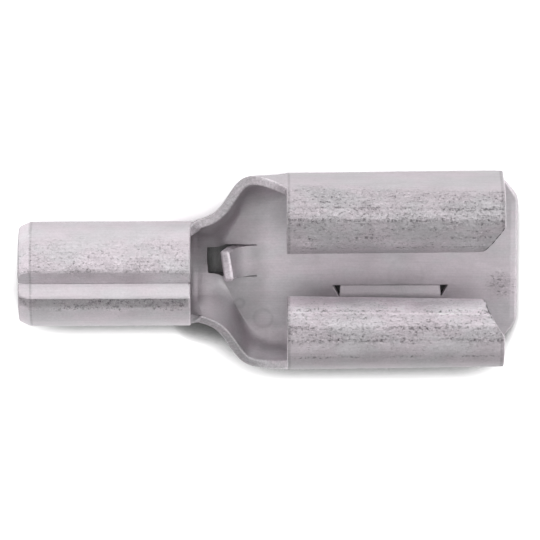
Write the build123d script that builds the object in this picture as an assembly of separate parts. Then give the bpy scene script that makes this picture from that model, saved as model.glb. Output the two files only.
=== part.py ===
from build123d import *
import os
from math import asin, cos, degrees, hypot, pi, radians, sin, tanh

os.makedirs("parts", exist_ok=True)

# Female spade terminal: one blank of tin-plated brass sheet, rolled and folded.
# It lies on its back. +X points out of the blade opening, +Z up.
# The origin is under the middle of its box, on the surface that it rests on.

# Sheet and mating blade
sheet = 0.40
blade_thickness = 0.80
blade_play = 0.04

# Lengths along X, from the wire end to the nose
barrel_length = 6.80
shoulder_length = 3.80
roll_length = 8.60
nose_length = 0.60

# Wire barrel, rolled to a tube whose edges butt in a V seam on top, a little to the +Y side
barrel_radius = 2.04
barrel_flat = 0.06
seam_gap = 0.04
seam_roll_radius = 0.50
seam_roll_start = 18.0
seam_slope = 32.0
seam_offset = 6.4
entry_bevel_length = 0.45
entry_bevel_depth = 0.16

# Receptacle section at its back end; the rolls turn from upright walls round to free edges
back_floor_half = 2.69
back_fold_radius = 1.20
back_roll_radius = 1.46
roll_sweep = 218.5

# Receptacle section at its mouth, where the free edges have risen to let the blade in
mouth_floor_half = 3.30
mouth_fold_radius = 0.45
mouth_roll_radius = 1.34
mouth_lead = 0.22

# Shoulder, a trough that opens from the barrel to the receptacle
swing_centre = 0.39
swing_length = 0.58
hip_bulge = 0.15
bulge_crowding = 1.13
shoulder_lean = 36.6
lean_crowding = 0.49
bend_tightening = 0.22
neck_wall_top = 1.48
neck_length = 0.32
neck_curl = 6.0
hip_start = 0.46
hip_rise = 1.77
hip_curl = 19.0
floor_rise_length = 2.30
neck_stations = 3
shoulder_stations = 9
shoulder_crowding = 1.1

# Stop tongue, lanced from the shoulder floor and curled nearly upright
stop_hinge = 2.60
stop_width = 1.25
stop_curl_radius = 1.42
stop_turn = 78.0
stop_slit = 0.06

# Flaps, lanced from the receptacle floor and bent down
flap_start = 1.85
flap_length = 4.57
flap_inner = 1.07
flap_width = 0.50
flap_slit = 0.07
flap_end_gap = 0.35
window_taper = 0.26
flap_drop = 0.18

# Nose, and the corners clipped off the rolls at the mouth
nose_half = 2.62
nose_corner_length = 0.50
nose_corner_width = 0.62
nose_corner_round = 0.30
nose_bevel = 0.11
roll_clip_start = {+1: 2.46, -1: 2.12}
roll_clip_slope = 0.67

total_length = barrel_length + shoulder_length + roll_length + nose_length
barrel_back = -total_length / 2
barrel_front = barrel_back + barrel_length
roll_back = barrel_front + shoulder_length
roll_front = roll_back + roll_length
nose_front = roll_front + nose_length
free_edge_height = sheet + blade_thickness + blade_play
clip_inner = mouth_floor_half + mouth_fold_radius - 2 * mouth_roll_radius
clip_back = roll_front - roll_clip_slope * (max(roll_clip_start.values()) - clip_inner)
root = sheet / 40


def at(centre, radius, angle):
    """The point at a radius and a direction in degrees from centre."""
    return centre[0] + radius * cos(radians(angle)), centre[1] + radius * sin(radians(angle))


def moved(point, direction, distance):
    """The point at a distance from point, along a direction in degrees."""
    return at(point, distance, direction)


def arc(centre, radius, start, end):
    """An arc about centre, from one direction to another in degrees."""
    return CenterArc(centre, radius, start, end - start)


def flipped(edges):
    """The same edges on the other side of the middle plane, in reverse order."""
    return [edge.mirror(Plane.YZ) for edge in reversed(edges)]


def section(x, side, other=None):
    """A closed section that stands at x, from its edges on the +Y side.

    other holds the edges of the -Y side, drawn as if on the +Y side, where they differ.
    """
    across = flipped(other or side)
    over_floor = Line(side[-1] @ 1, across[0] @ 1)
    under_floor = Line(across[-1] @ 0, side[0] @ 0)
    return Plane.YZ.offset(x) * make_face([*side, over_floor, *across, under_floor])


def trough_side(shape):
    """One side of a trough: fold, wall and curl outside, cut edge, and the same inside.

    shape.wall is the sheet as this section cuts it, thicker where the trough widens fast.
    """
    fold = (shape.half, shape.base + shape.fold_radius)
    wall_foot = at(fold, shape.fold_radius, -shape.lean)
    wall_rise = (shape.wall_top - wall_foot[1]) / cos(radians(shape.lean))
    wall_head = moved(wall_foot, 90 - shape.lean, wall_rise)
    curl = moved(wall_head, 180 - shape.lean, shape.curl_radius)
    curl_end = shape.curl - shape.lean
    inner_fold_radius = max(shape.fold_radius - shape.wall, sheet / 10)
    inner_fold_z = shape.base + sheet + inner_fold_radius
    inner_foot = moved(wall_foot, 180 - shape.lean, shape.wall + inner_fold_radius)
    slide = (inner_fold_z - inner_foot[1]) / cos(radians(shape.lean))
    inner_fold = moved(inner_foot, 90 - shape.lean, slide)
    inner_curl_radius = shape.curl_radius - shape.wall
    return [
        arc(fold, shape.fold_radius, -90, -shape.lean),
        Line(wall_foot, wall_head),
        arc(curl, shape.curl_radius, -shape.lean, curl_end),
        Line(at(curl, shape.curl_radius, curl_end), at(curl, inner_curl_radius, curl_end)),
        arc(curl, inner_curl_radius, curl_end, -shape.lean),
        Line(at(curl, inner_curl_radius, -shape.lean), at(inner_fold, inner_fold_radius, -shape.lean)),
        arc(inner_fold, inner_fold_radius, -shape.lean, -90),
    ]


class Trough:
    """The numbers of one trough section."""

    def __init__(self, half, fold_radius, lean, wall_top, base, curl_radius, curl, wall=sheet):
        self.half = half
        self.fold_radius = fold_radius
        self.lean = lean
        self.wall_top = wall_top
        self.base = base
        self.curl_radius = curl_radius
        self.curl = curl
        self.wall = wall


def blend(start, end, share):
    """The value at a share of the way from start to end."""
    return start + (end - start) * share


def receptacle_shape(x):
    """The receptacle's section at x: upright walls, and rolls that end above the blade."""
    share = (x - roll_back) / roll_length
    half = blend(back_floor_half, mouth_floor_half, share)
    fold_radius = blend(back_fold_radius, mouth_fold_radius, share)
    roll_radius = blend(back_roll_radius, mouth_roll_radius, share)
    free_edge_drop = roll_radius * sin(radians(roll_sweep - 180))
    wall_top = free_edge_height + mouth_lead * share + free_edge_drop
    return Trough(half, fold_radius, 0, wall_top, 0, roll_radius, roll_sweep)


back = receptacle_shape(roll_back)


def wall_head_reach(shape):
    """How far out the wall's head lies."""
    rise = shape.wall_top - shape.base - shape.fold_radius * (1 - sin(radians(shape.lean)))
    return shape.half + shape.fold_radius * cos(radians(shape.lean)) + rise * sin(
        radians(shape.lean)) / cos(radians(shape.lean))


def swing(x):
    """0 at the barrel and 1 at the rolls, along the S of the shoulder."""
    def s_curve(place):
        return tanh((place - barrel_front - swing_centre * shoulder_length) / swing_length)
    return (s_curve(x) - s_curve(barrel_front)) / (s_curve(roll_back) - s_curve(barrel_front))


def shoulder_shape(x):
    """The shoulder's section at x, with its sheet at its own thickness."""
    along = (x - barrel_front) / shoulder_length
    share = swing(x)
    lean = shoulder_lean * sin(pi * min(along, 1) ** lean_crowding)
    fold_radius = blend(barrel_radius, back_fold_radius, share) - bend_tightening * sin(pi * along)
    settled = min((x - barrel_front) / floor_rise_length, 1)
    base = -flap_drop * (1 - settled) ** 2 * (1 + 2 * settled)
    neck = max(1 - (x - barrel_front) / neck_length, 0) ** 2
    hip = max((along - hip_start) / (1 - hip_start), 0)
    wall_top = neck_wall_top
    wall_top += (barrel_radius + barrel_flat - flap_drop - neck_wall_top) * neck
    wall_top += (back.wall_top - neck_wall_top) * hip ** hip_rise
    reach = blend(barrel_radius + seam_gap / 2, wall_head_reach(back), share)
    reach += hip_bulge * sin(pi * along ** bulge_crowding)
    curl_radius = blend(barrel_radius, back_roll_radius, share)
    curl = neck_curl + (hip_curl - neck_curl) * hip ** 2
    shape = Trough(0, fold_radius, lean, wall_top, base, curl_radius, curl)
    shape.half = reach - wall_head_reach(shape)
    return shape


def wall_middle(shape):
    """The point half way up the outer wall."""
    foot = at((shape.half, shape.base + shape.fold_radius), shape.fold_radius, -shape.lean)
    head = (wall_head_reach(shape), shape.wall_top)
    return (foot[0] + head[0]) / 2, (foot[1] + head[1]) / 2


def shoulder_section(x):
    """The shoulder's section at x, thickened where its wall runs across the section."""
    shape = shoulder_shape(x)
    step = shoulder_length / 200
    if barrel_front + step < x < roll_back - step:
        before = wall_middle(shoulder_shape(x - step))
        after = wall_middle(shoulder_shape(x + step))
        out = (after[0] - before[0]) * cos(radians(shape.lean))
        down = (after[1] - before[1]) * sin(radians(shape.lean))
        shape.wall = sheet * hypot(1, (out - down) / (2 * step))
    return section(x, trough_side(shape))


def make_shoulder():
    """The trough between barrel and rolls: a short neck, and the flare behind it."""
    flare_back = barrel_front + neck_length
    neck_places = [blend(barrel_front, flare_back, i / neck_stations) for i in range(neck_stations + 1)]
    shares = [(i / shoulder_stations) ** shoulder_crowding for i in range(shoulder_stations + 1)]
    neck = loft([shoulder_section(x) for x in neck_places], ruled=True)
    return neck + loft([shoulder_section(blend(flare_back, roll_back, share)) for share in shares])


def make_receptacle():
    """Floor, walls and rolls, from the shoulder to the mouth."""
    places = (roll_back, clip_back, roll_front)
    return loft([section(x, trough_side(receptacle_shape(x))) for x in places], ruled=True)


def barrel_side(offset):
    """One side of the barrel: round wall, edge rolled in to the seam, and the same inside.

    offset turns the rolled edge about the barrel's axis, towards the other side if positive.
    """
    low = (seam_gap / 2, barrel_radius - flap_drop)
    high = (low[0], low[1] + barrel_flat)
    turn = 90 - seam_roll_start
    seam_roll = moved(high, turn, barrel_radius - seam_roll_radius)
    seam_top = at(seam_roll, seam_roll_radius, 90 + seam_slope)
    run = (seam_top[0] - seam_gap / 2) / cos(radians(seam_slope))
    seam = moved(seam_top, 180 + seam_slope, run)
    seam_inside = moved(seam, seam_slope - 90, sheet)
    inner = barrel_radius - sheet
    inner_roll = seam_roll_radius - sheet
    inner_top = at(seam_roll, inner_roll, 90 + seam_slope)
    rolled_edge = [
        arc(seam_roll, seam_roll_radius, turn, 90 + seam_slope),
        Line(seam_top, seam),
        Line(seam, seam_inside),
        Line(seam_inside, inner_top),
        arc(seam_roll, inner_roll, 90 + seam_slope, turn),
    ]
    axis = Axis((high[0], high[1], 0), (0, 0, 1))
    return [
        arc(low, barrel_radius, -90, 0),
        Line(at(low, barrel_radius, 0), at(high, barrel_radius, 0)),
        arc(high, barrel_radius, 0, turn + offset),
        *[edge.rotate(axis, offset) for edge in rolled_edge],
        arc(high, inner, turn + offset, 0),
        Line(at(high, inner, 0), at(low, inner, 0)),
        arc(low, inner, 0, -90),
    ]


def make_barrel():
    """The wire barrel, with a bevel round its entry."""
    ring = section(barrel_back, barrel_side(-seam_offset), barrel_side(seam_offset))
    tube = extrude(ring, barrel_length, dir=(1, 0, 0))
    full = barrel_radius + barrel_flat + seam_gap
    narrow = barrel_radius - entry_bevel_depth
    profile = Polyline(
        (barrel_back, 0),
        (barrel_back, narrow),
        (barrel_back + entry_bevel_length, barrel_radius),
        (barrel_back + entry_bevel_length, full),
        (barrel_front, full),
        (barrel_front, 0),
        close=True,
    )
    envelope = revolve(Plane.XZ * make_face(profile), Axis.X)
    return tube & (Pos(0, 0, barrel_radius + barrel_flat / 2 - flap_drop) * envelope)


def make_nose():
    """The floor's bevelled lip in front of the rolls."""
    wide = nose_half + nose_corner_width
    corner_x = nose_front - nose_corner_length
    plan = make_face(Polyline(
        (roll_front, -wide),
        (corner_x, -wide),
        (nose_front, -nose_half),
        (nose_front, nose_half),
        (corner_x, wide),
        (roll_front, wide),
        close=True,
    ))
    plan = fillet(plan.vertices().filter_by_position(Axis.X, nose_front, nose_front), nose_corner_round)
    lip = extrude(plan, sheet)
    rim = lip.faces().sort_by(Axis.Z)[-1].edges().filter_by_position(Axis.X, corner_x, nose_front)
    return chamfer(rim, nose_bevel)


def make_stop():
    """The stop tongue, curled up out of the floor about its hinge."""
    hinge = barrel_front + stop_hinge
    outer = stop_curl_radius - root
    inner = stop_curl_radius - sheet + root
    centre = (hinge, stop_curl_radius)
    tip = -90 - stop_turn
    side = make_face([
        arc(centre, outer, -90, tip),
        Line(at(centre, outer, tip), at(centre, inner, tip)),
        arc(centre, inner, tip, -90),
        Line(at(centre, inner, -90), (hinge + sheet, sheet - root)),
        Line((hinge + sheet, sheet - root), (hinge + sheet, root)),
        Line((hinge + sheet, root), at(centre, outer, -90)),
    ])
    return extrude(Plane.XZ * side, stop_width / 2, both=True)


def stop_window():
    """The hole in the floor that the stop tongue was lanced from."""
    length = stop_curl_radius * radians(stop_turn)
    window = Box(length, stop_width + 2 * stop_slit, 4 * sheet, align=(Align.MAX, Align.CENTER, Align.CENTER))
    return Pos(barrel_front + stop_hinge, 0, 0) * window


def flap_plan(start, end, taper_inner, taper_outer, inner, outer):
    """A trapezoid in plan, with its own taper at its inner and outer side."""
    return make_face(Polyline(
        (start + taper_inner, inner),
        (end - taper_inner, inner),
        (end - taper_outer, outer),
        (start + taper_outer, outer),
        close=True,
    ))


def flap_window(side):
    """The trapezoid hole beside the middle of the floor."""
    start = roll_back + flap_start
    hinge = side * (flap_inner + flap_width)
    plan = flap_plan(start, start + flap_length, 0, window_taper, side * flap_inner, hinge)
    return extrude(plan, 2 * sheet, both=True)


def make_flap(side):
    """The flap in that hole, bent down about its outer side."""
    start = roll_back + flap_start
    hinge = flap_inner + flap_width
    depth = flap_width - flap_slit
    tilt = degrees(asin(flap_drop / depth))
    low = moved((hinge, root), 180 + tilt, depth)
    high = moved(low, 90 + tilt, sheet - 2 * root)
    bent = make_face(Polyline(
        (hinge + sheet, root),
        (hinge, root),
        low,
        high,
        (hinge, sheet - root),
        (hinge + sheet, sheet - root),
        close=True,
    ))
    if side < 0:
        bent = bent.mirror(Plane.YZ)
    bar = extrude(Plane.YZ.offset(start) * bent, flap_length)
    plan = flap_plan(
        start, start + flap_length, flap_end_gap, window_taper, side * flap_inner / 2, side * hinge)
    outer = flap_plan(
        start, start + flap_length, window_taper, window_taper, side * hinge, side * (hinge + sheet))
    return bar & extrude(plan + outer, 2 * sheet, both=True)


def roll_clip(side):
    """What is clipped off the front inner corner of a roll."""
    start = roll_clip_start[side]
    inner = clip_inner - sheet / 2
    ahead = roll_front + sheet
    plan = make_face(Polyline(
        (ahead, side * start),
        (roll_front, side * start),
        (roll_front - roll_clip_slope * (start - inner), side * inner),
        (ahead, side * inner),
        close=True,
    ))
    return Pos(0, 0, sheet + blade_thickness / 2) * extrude(plan, free_edge_height + 2 * mouth_roll_radius)


def make_terminal():
    """The whole terminal, standing on its flaps and its barrel."""
    terminal = make_barrel() + make_shoulder() + make_receptacle() + make_nose()
    terminal -= stop_window()
    terminal += make_stop()
    for side in (+1, -1):
        terminal -= flap_window(side)
        terminal += make_flap(side)
        terminal -= roll_clip(side)
    return Pos(0, 0, flap_drop) * terminal


terminal = make_terminal()
terminal.label = "terminal"
export_step(terminal, "parts/terminal.step")
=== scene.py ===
import math

import bpy
import numpy as np
from mathutils import Matrix, Vector, noise


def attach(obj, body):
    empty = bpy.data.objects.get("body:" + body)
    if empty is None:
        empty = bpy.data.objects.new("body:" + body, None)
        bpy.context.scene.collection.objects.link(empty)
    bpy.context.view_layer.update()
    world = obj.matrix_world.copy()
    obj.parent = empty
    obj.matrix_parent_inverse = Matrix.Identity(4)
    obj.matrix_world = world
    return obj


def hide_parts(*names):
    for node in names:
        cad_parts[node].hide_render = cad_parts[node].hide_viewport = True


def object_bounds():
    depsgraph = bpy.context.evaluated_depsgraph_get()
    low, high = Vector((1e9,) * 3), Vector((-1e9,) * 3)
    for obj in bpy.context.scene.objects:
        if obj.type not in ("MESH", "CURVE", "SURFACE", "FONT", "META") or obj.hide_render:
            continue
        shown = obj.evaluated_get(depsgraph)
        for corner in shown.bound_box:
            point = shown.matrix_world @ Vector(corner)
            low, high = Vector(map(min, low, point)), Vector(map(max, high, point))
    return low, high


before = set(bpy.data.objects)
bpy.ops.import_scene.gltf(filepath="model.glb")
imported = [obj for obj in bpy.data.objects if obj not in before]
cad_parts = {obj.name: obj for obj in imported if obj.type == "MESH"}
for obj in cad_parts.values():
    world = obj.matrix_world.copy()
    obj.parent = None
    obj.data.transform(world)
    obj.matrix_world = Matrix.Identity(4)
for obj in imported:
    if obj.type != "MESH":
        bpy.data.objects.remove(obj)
cad_low, cad_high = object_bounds()

MM = 0.001
TINY = 1e-9

# Sizes in mm and angles in degrees, as the solid has them. The underside of the receptacle's floor is at
# height 0 until the mesh is raised by DROP, which the barrel reaches below it.
SHEET = 0.40
DROP = 0.18

# Places along X, from the wire end to the nose
BARREL_BACK = -9.90
BARREL_FRONT = -3.10
ROLL_BACK = 0.70
ROLL_FRONT = 9.30
NOSE_FRONT = 9.90

# Barrel, rolled to a tube whose edges butt in a V seam on top
BARREL_RADIUS = 2.04
BARREL_FLAT = 0.06
SEAM_GAP = 0.04
SEAM_RADIUS = 0.50
SEAM_TURN = 72.0
SEAM_SLOPE = 32.0
SEAM_OFFSET = 6.4
ENTRY_LENGTH = 0.45
ENTRY_DEPTH = 0.16

# Receptacle section at its back end, and how far its rolls turn
BACK_FLOOR = 2.69
BACK_FOLD = 1.20
BACK_ROLL = 1.46
FREE_EDGE = 1.24
ROLL_SWEEP = 218.5

# Receptacle section at its mouth, where the free edges are higher and the rolls' corners clipped off
MOUTH_FLOOR = 3.30
MOUTH_FOLD = 0.45
MOUTH_ROLL = 1.34
MOUTH_LEAD = 0.22
CLIP_START = {1: 2.46, -1: 2.12}
CLIP_SLOPE = 0.67
CLIP_ROUND = 0.16

# Shoulder, a trough that opens from the barrel to the receptacle
SHOULDER_LENGTH = ROLL_BACK - BARREL_FRONT
SWING_CENTRE = 0.39
SWING_LENGTH = 0.58
HIP_BULGE = 0.15
BULGE_CROWDING = 1.13
SHOULDER_LEAN = 36.6
LEAN_CROWDING = 0.49
BEND_TIGHTENING = 0.22
NECK_WALL_TOP = 1.48
NECK_LENGTH = 0.32
NECK_CURL = 6.0
HIP_START = 0.46
HIP_RISE = 1.77
HIP_CURL = 19.0
FLOOR_RISE_LENGTH = 2.30

# Stop tongue, lanced from the shoulder's floor and curled nearly upright
STOP_HINGE = BARREL_FRONT + 2.60
STOP_HALF = 0.635
STOP_WINDOW = 0.675
STOP_RADIUS = 1.42
STOP_TURN = 78.0

# Flaps, lanced from the receptacle's floor and bent down
FLAP_START = ROLL_BACK + 1.85
FLAP_END = FLAP_START + 4.57
FLAP_INNER = 1.07
FLAP_HINGE = 1.57
FLAP_DEPTH = 0.43
FLAP_TAPER = 0.26
FLAP_GAP = 0.35

# Nose, with clipped corners
NOSE_HALF = 2.62
NOSE_WIDE = 3.24
NOSE_CORNER = 9.40
NOSE_ROUND = 0.14

# Forms that only this mesh has: sharper edges at the seam's V and a gap that is nearly shut, a twisted
# stop tongue, a softer fold on the +Y side of the shoulder
SEAM_SHUT = 0.004
CREST_RADIUS = 0.20
CREST_TURN = 73.6
STOP_TWIST = 8.0
TWIST_CROWDING = 1.5
SOFT_FOLD = 0.8

# Radius in mm of the cut edges towards the outside and the inside of the sheet, by the part that they
# are on, and elsewhere. Where parts overlap the first counts.
OUTER_ROUND = {"seam": 0.006, "shoulder": 0.09, "tip": 0.11, "front": 0.08, "slit": 0.015}
OUTER_ELSEWHERE = 0.055
INNER_ROUND = {"shoulder": 0.09, "tip": 0.11, "slit": 0.015}
INNER_ELSEWHERE = 0.04
NOSE_BEVEL = 0.11
NOSE_BEVEL_END = 0.03
NOSE_BEVEL_FADE = 0.45
RIM_ANGLES = (30, 60, 90, 90.001, 120, 150)
SHARPEST_MITRE = 0.6

# Rows of the mesh, from the middle of the floor outwards. The floor's are places across in mm.
FLOOR_ROWS = [
    0, 0.16, 0.32, 0.47, STOP_HALF, STOP_WINDOW, 0.80, 0.94, FLAP_INNER, 1.195, 1.32, 1.445, FLAP_HINGE]
STOP_ROW = FLOOR_ROWS.index(STOP_HALF)
WINDOW_ROW = FLOOR_ROWS.index(STOP_WINDOW)
INNER_ROW = FLOOR_ROWS.index(FLAP_INNER)
HINGE_ROW = FLOOR_ROWS.index(FLAP_HINGE)
WALL_ROWS = 42
EDGE_ROW = HINGE_ROW + WALL_ROWS
EDGE_STEP = 0.06
CROWN_ROWS = [0, 18, 27, 36]
ROLL_ROWS = 60
FLAP_ROWS = 5
STOP_STEPS = 16
NOSE_SHARES = [0, 0.16, 0.32, 0.48, 0.68, 1.0]

# Reach in mm, above the hinge and along X, over which the mesh follows the flaps' slanting ends
WARP_UP = 1.2
WARP_ALONG = 0.9

# Wear of the outside on the +Y and the -Y side: its start, then each rise or fall of it as (from this
# turn of the sheet, to this turn, change). Elsewhere it is PLAIN_WEAR.
BARREL_WEAR = {
    1: (0.15, [(20, 45, 0.45), (50, 62, 0.40), (104, 112, -0.60)]),
    -1: (0.15, [(30, 60, 0.12), (64, 76, 0.73), (82, 88, -0.90)]),
}
ROLL_WEAR = {
    1: (0.0, [(8, 20, 1.0), (76, 84, -0.12)]),
    -1: (0.25, [(45, 60, 0.25), (90, 98, 0.50), (150, 156, -0.25)]),
}
PLAIN_WEAR = 0.30
INSIDE_WEAR = 0.10
RIM_WEAR = 0.2

# Dents of the worn outside: how tightly they come along X and across, a shift of their pattern, and
# their greatest depth in mm
DENTS = [(2.6, 7.0, 0, 0.024), (6.0, 11.0, 40, 0.020)]
LEAST_DENTED = 0.05

# Painted highlights: how bright the bevel round the entry, rims, and the light line along the shoulder's fold
# are painted
BEVEL_PAINTED_HIGHLIGHT = {1: 1.0, -1: 0.5}
RIM_PAINTED_HIGHLIGHT = {"tip": 2.8, "front": 1.3, "tongue": 0.5}
CREASE_TURN = 40.0
CREASE_WIDTH = 7.0
CREASE_FLOOR = 0.75

# Grime on the lower edge of the seam's V: how dark, from which turn, and where across it sets in
GRIME = 1.1
GRIME_TURN = 84
GRIME_SETS_IN = (0.24, 0.36)

# Rows of tool marks by how far the sheet has turned in degrees, with their half width: on the roll of the
# +Y and of the -Y side, then on the barrel likewise. The light line is on the roll of the -Y side.
TOOL_ROWS = [
    ([57, 76, 106.6, 128.6], 3.4),
    ([67.4, 97.6, 118.2, 148.6], 3.4),
    ([74, 86], 6.0),
    ([70, 79], 7.0),
]
ROLL_LIGHT_LINE = ([143.5], 2.2)

# Marks across the ends of barrel and rolls, and the painted highlight along the nose's edge, by their
# places along X, with their half width, in mm
END_MARKS = ([BARREL_BACK + 0.50, ROLL_BACK + 0.09, ROLL_FRONT - 0.12], 0.07)
NOSE_HIGHLIGHT = ([NOSE_FRONT - 0.17], 0.15)

# Bands of tone as (turn, tone), for the same four places as the rows of tool marks: partly the facets that
# the tools left, partly painted light and shade, lighter or darker by which way the sheet faces
OUTSIDE_BANDS = [
    [(0, 0.76), (12, 0.82), (56, 0.93), (58, 1.0), (73, 1.06), (80, 0.77), (98, 0.82), (106, 0.92),
     (118, 0.98), (140, 0.88)],
    [(0, 0.74), (58, 0.80), (66, 0.86), (70, 0.90), (80, 1.02), (98, 0.94), (112, 0.95), (124, 1.20),
     (138, 1.20), (150, 1.51)],
    [(0, 0.83), (8, 0.86), (23, 0.92), (45, 0.99), (60, 1.14), (74, 1.12), (90, 1.06), (116, 1.12)],
    [(0, 0.92), (46, 0.98), (60, 1.10), (68, 1.12), (72, 0.82), (79, 0.74), (84, 0.80), (88, 1.00),
     (97, 1.02)],
]

# Bands of tone on the inside, as (place along X in mm, tone): partly the tin's own tone, partly painted
# light and shade along the trough
INSIDE_BANDS = [
    (-9.9, 1.0), (-3.1, 0.96), (-2.2, 0.98), (-1.2, 0.93), (-0.5, 0.97), (0.0, 1.12), (0.6, 1.06),
    (1.5, 0.99), (4.0, 0.89), (7.5, 1.04), (9.2, 1.06)]

# Spots as centre, radius and width of their soft edge in mm: painted shade in a corner of the shoulder's
# lower wall, a nick on the nose, painted glints where the V meets the entry bevel. The stains are rings on
# the floor, with how dark they are.
STAINS = [
    ((-1.20, -1.80, 0.60), 0.30, 0.7), ((-0.25, -2.45, 0.60), 0.48, 0.6), ((5.45, -0.60, 0.58), 0.80, 0.25)]
PAINTED_SHADE_CORNER = ((0.15, -3.25, 1.05), 1.15, 0.9)
NICKED = ((9.30, -1.05, 0.58), 0.85, 0.7)
BEVEL_GLINTS = [((-9.68, 0.12, 3.60), 0.26, 0.22), ((-9.68, -0.32, 3.75), 0.26, 0.22)]

# How much each kind of mark, the painted shade among them, takes from the tone, and how much specks,
# light lines and painted highlights add to it
DARKENED = {"mark": 0.56, "score": 0.15, "rows": 0.52, "ends": 0.22, "painted_shade_and_stains": 0.20}
SPECK_LIGHT = 0.34
ROLL_LIGHT_LINE_GAIN = 0.24
NOSE_HIGHLIGHT_GAIN = 0.16
BRIGHT_LIGHT = 0.22

# Colours of the tin and of the table, and how far in mm the table's shade reaches and leans to +Y
TIN = (0.645, 0.597, 0.630)
TIN_COOL = (0.625, 0.602, 0.625)
BUMP_HEIGHT = 0.016
FLOOR_GREY = (0.8, 0.8, 0.8, 1)
FLOOR_WHITE = 2.0
FLOOR_REFLECTED = 1.40
CONTACT = 2.3
SHADE_LEAN = 2.0
SHADE_DARKEST = 0.08

# The photograph's view: degrees off plumb towards +Y, its roll, the place in mm that it looks at, its
# distance in mm, and its focal length in pixels of a picture that is 540 wide
VIEW_TILT = 19.5
VIEW_ROLL = 0.195
VIEW_AIM = (0.035, -0.543, 0.18)
VIEW_DISTANCE = 220.0
FOCAL_PIXELS = 5500.0
PICTURE_PIXELS = 540.0
SENSOR_WIDTH = 36.0

# Lamps as name, place in mm, width in mm and radiance, and the place that they point at
LAMPS = [
    ("right", (200, 20, 150), 190, 1.87),
    ("right_high", (125, 10, 216), 170, 0.75),
    ("left_high", (-125, 10, 216), 170, 1.35),
    ("back", (0, 235, 95), 150, 2.67),
    ("top", (0, 95, 250), 110, 1.17),
]
LAMP_AIM = (0, 0, 1)
WORLD_LIGHT = 0.39


def blend(start, end, share):
    return start + (end - start) * share


def smooth(share):
    share = min(max(share, 0.0), 1.0)
    return share * share * (3 - 2 * share)


def sine(degrees):
    return math.sin(math.radians(degrees))


def cosine(degrees):
    return math.cos(math.radians(degrees))


class Path:
    """A section's outside as (y, z), from the middle of the floor outwards, by its length."""

    def __init__(self, start):
        self.runs = []
        self.starts = []
        self.end = start
        self.length = 0.0

    def add(self, reach, point_at):
        """A run of this length. point_at gives its point at a share from 0 to 1."""
        self.runs.append((reach, point_at))
        self.starts.append(self.length)
        self.length += reach
        self.end = point_at(1)

    def line(self, end):
        start = self.end

        def point_at(share):
            return blend(start[0], end[0], share), blend(start[1], end[1], share)
        self.add(math.dist(start, end), point_at)

    def arc(self, centre, radius, start, end):
        def point_at(share):
            angle = blend(start, end, share)
            return centre[0] + radius * cosine(angle), centre[1] + radius * sine(angle)
        self.add(radius * math.radians(abs(end - start)), point_at)

    def at(self, length):
        """The point at a length along the path."""
        found = 0
        for k, (reach, _) in enumerate(self.runs):
            if reach > TINY and length >= self.starts[k] - TINY:
                found = k
        reach, point_at = self.runs[found]
        return point_at(min(max((length - self.starts[found]) / reach, 0.0), 1.0))


class Trough:
    """Half a section: flat floor, fold, wall that leans out from plumb, and an edge that curls in."""

    def __init__(self, half, fold, lean, wall_top, base, curl_radius, curl):
        self.half = half
        self.fold = fold
        self.lean = lean
        self.wall_top = wall_top
        self.base = base
        self.curl_radius = curl_radius
        self.curl = curl


def wall_head_reach(shape):
    """How far out the head of a trough's wall is."""
    rise = shape.wall_top - shape.base - shape.fold * (1 - sine(shape.lean))
    return shape.half + shape.fold * cosine(shape.lean) + rise * math.tan(math.radians(shape.lean))


def receptacle_shape(x):
    share = (x - ROLL_BACK) / (ROLL_FRONT - ROLL_BACK)
    roll = blend(BACK_ROLL, MOUTH_ROLL, share)
    wall_top = FREE_EDGE + MOUTH_LEAD * share + roll * sine(ROLL_SWEEP - 180)
    half = blend(BACK_FLOOR, MOUTH_FLOOR, share)
    return Trough(half, blend(BACK_FOLD, MOUTH_FOLD, share), 0, wall_top, 0, roll, ROLL_SWEEP)


BACK = receptacle_shape(ROLL_BACK)


def swing(x):
    """0 at the barrel and 1 at the rolls, along the S of the shoulder."""
    def s_curve(place):
        return math.tanh((place - BARREL_FRONT - SWING_CENTRE * SHOULDER_LENGTH) / SWING_LENGTH)
    return (s_curve(x) - s_curve(BARREL_FRONT)) / (s_curve(ROLL_BACK) - s_curve(BARREL_FRONT))


def soften_fold(shape, along, reach):
    """A wider fold, as far as the floor's width and the wall's height allow, with the wall's head kept."""
    flat = 1 - sine(shape.lean)
    growth = cosine(shape.lean) - flat * math.tan(math.radians(shape.lean))
    room_across = (shape.half - 0.05) / growth
    room_up = (shape.wall_top - shape.base) / flat - shape.fold - 0.1
    shape.fold += max(min(SOFT_FOLD * math.sin(math.pi * along), room_across, room_up), 0)
    shape.half = 0
    shape.half = reach - wall_head_reach(shape)


def shoulder_shape(x, side):
    ahead = x - BARREL_FRONT
    along = ahead / SHOULDER_LENGTH
    share = swing(x)
    lean = SHOULDER_LEAN * math.sin(math.pi * min(along, 1) ** LEAN_CROWDING)
    settled = min(ahead / FLOOR_RISE_LENGTH, 1)
    base = -DROP * (1 - settled) ** 2 * (1 + 2 * settled)
    neck = max(1 - ahead / NECK_LENGTH, 0) ** 2
    hip = max((along - HIP_START) / (1 - HIP_START), 0)
    wall_top = NECK_WALL_TOP + (BARREL_RADIUS + BARREL_FLAT - DROP - NECK_WALL_TOP) * neck
    wall_top += (BACK.wall_top - NECK_WALL_TOP) * hip ** HIP_RISE
    reach = blend(BARREL_RADIUS + SEAM_GAP / 2, wall_head_reach(BACK), share)
    reach += HIP_BULGE * math.sin(math.pi * along ** BULGE_CROWDING)
    fold = blend(BARREL_RADIUS, BACK_FOLD, share) - BEND_TIGHTENING * math.sin(math.pi * along)
    curl = NECK_CURL + (HIP_CURL - NECK_CURL) * hip ** 2
    shape = Trough(0, fold, lean, wall_top, base, blend(BARREL_RADIUS, BACK_ROLL, share), curl)
    shape.half = reach - wall_head_reach(shape)
    if side > 0:
        soften_fold(shape, along, reach)
    return shape


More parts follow.
